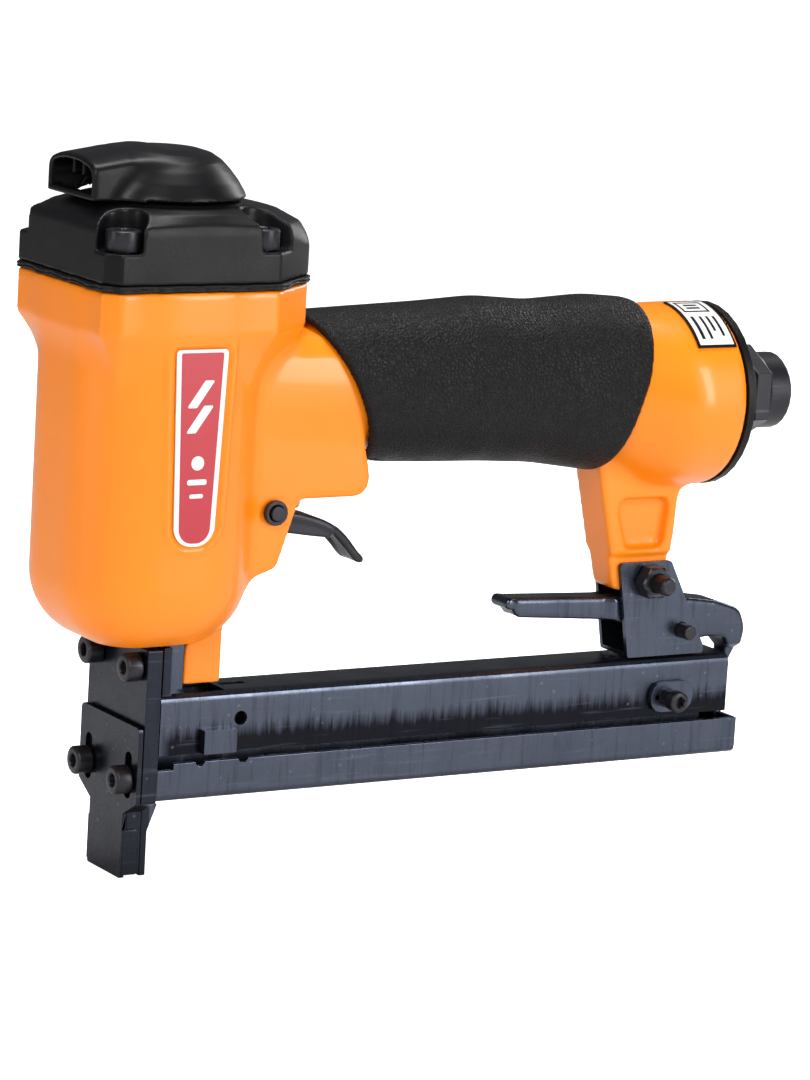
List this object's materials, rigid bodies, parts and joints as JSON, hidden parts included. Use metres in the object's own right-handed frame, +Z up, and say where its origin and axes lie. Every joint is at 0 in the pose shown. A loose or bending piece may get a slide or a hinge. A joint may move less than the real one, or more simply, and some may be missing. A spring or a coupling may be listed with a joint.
{
  "type": "pneumatic staple gun",
  "caption": "Pneumatic fine-wire staple gun with barrel, rubber-sleeved handle, trigger, nose and a long slide-out staple magazine with a rear latch.",
  "frame": {"origin": "where the cylinder's axis meets the plane of the nozzle's end, on the driver guide's tip", "axes": "+X from the nose to the air inlet, +Z up along the cylinder towards the head, +Y to the tool's right-hand side"},
  "size_m": [0.2094, 0.051, 0.1768],
  "materials": {
    "orange_paint": "gloss",
    "black_casting": "satin",
    "black_plastic": "satin",
    "grip_rubber": "grained",
    "seal_rubber": "smooth",
    "bumper_rubber": "smooth",
    "blued_steel": "black oxide",
    "screw_steel": "black oxide",
    "bright_steel": "ground",
    "spring_steel": "drawn wire",
    "aluminium": "turned",
    "brass": "turned",
    "label_red": "printed",
    "label_white": "printed"
  },
  "bodies": {
    "frame": {"main_housing": "orange_paint", "cover_gasket": "seal_rubber", "head_cover": "black_casting", "exhaust_deflector": "black_plastic", "deflector_screw": "screw_steel", "name_plate": "label_red", "cylinder_sleeve": "aluminium", "sleeve_oring_lower": "seal_rubber", "sleeve_oring_upper": "seal_rubber", "bumper": "bumper_rubber", "head_valve_spring": "spring_steel", "rubber_grip": "grip_rubber", "end_cap": "black_casting", "end_cap_seal": "seal_rubber", "inlet_adapter": "screw_steel", "rear_label": "label_white", "trigger_pin": "screw_steel", "trigger_washer_left": "screw_steel", "trigger_washer_right": "screw_steel", "trigger_valve_body": "black_plastic", "trigger_valve_spring": "spring_steel", "nose_plate": "blued_steel", "nose_cover": "blued_steel", "driver_guide": "blued_steel", "fixed_magazine": "blued_steel", "rear_bracket": "blued_steel", "bracket_bolt": "screw_steel", "bracket_nut": "screw_steel", "latch_pin": "bright_steel", "latch_spring": "spring_steel", "stop_plate": "blued_steel", "stop_screw": "screw_steel", "stop_spacer": "screw_steel", "cover_screw_1": "screw_steel", "nose_screw_1": "screw_steel", "cover_screw_2": "screw_steel", "nose_screw_2": "screw_steel", "cover_screw_3": "screw_steel", "nose_screw_3": "screw_steel", "cover_screw_4": "screw_steel", "nose_screw_4": "screw_steel"},
    "trigger": {"trigger": "screw_steel"},
    "valve_stem": {"trigger_valve_stem": "brass"},
    "piston": {"piston": "aluminium", "piston_oring": "seal_rubber", "driver_blade": "bright_steel", "driver_pin": "bright_steel"},
    "head_valve": {"head_valve": "black_plastic"},
    "latch": {"latch_lever": "blued_steel"},
    "magazine_slide": {"sliding_magazine": "blued_steel", "staple_rail": "blued_steel", "pusher_rod": "bright_steel", "pusher_spring": "spring_steel"},
    "pusher": {"pusher": "bright_steel"}
  },
  "joints": [
    {"name": "trigger_pull", "type": "hinge", "parent": "frame", "child": "trigger", "pos_m": [0.0287, 0, 0.0894], "axis": [0, -1, 0], "range_deg": [0, 10], "stiffness_Nm_per_rad": 0.6, "springref_deg": -6.88},
    {"name": "valve_stem_travel", "type": "slide", "parent": "frame", "child": "valve_stem", "axis": [0, 0, 1], "range_m": [0, 0.0024], "deforming": ["trigger_valve_spring"]},
    {"name": "driver_stroke", "type": "slide", "parent": "frame", "child": "piston", "axis": [0, 0, -1], "range_m": [0, 0.041]},
    {"name": "head_valve_lift", "type": "slide", "parent": "frame", "child": "head_valve", "axis": [0, 0, 1], "range_m": [0, 0.003], "stiffness_N_per_m": 1500, "springref_m": -0.003, "deforming": ["head_valve_spring"]},
    {"name": "latch_release", "type": "hinge", "parent": "frame", "child": "latch", "pos_m": [0.156, 0, 0.0515], "axis": [0, -1, 0], "range_deg": [0, 12], "stiffness_Nm_per_rad": 0.5, "springref_deg": -8.59, "deforming": ["latch_spring"]},
    {"name": "magazine_travel", "type": "slide", "parent": "frame", "child": "magazine_slide", "axis": [1, 0, 0], "range_m": [0, 0.12]},
    {"name": "pusher_travel", "type": "slide", "parent": "magazine_slide", "child": "pusher", "axis": [1, 0, 0], "range_m": [0, 0.11], "stiffness_N_per_m": 20, "springref_m": -0.04}
  ],
  "couplings": [
    {"joint": "valve_stem_travel", "follows": "trigger_pull", "m_per_rad": 0.0128}
  ]
}
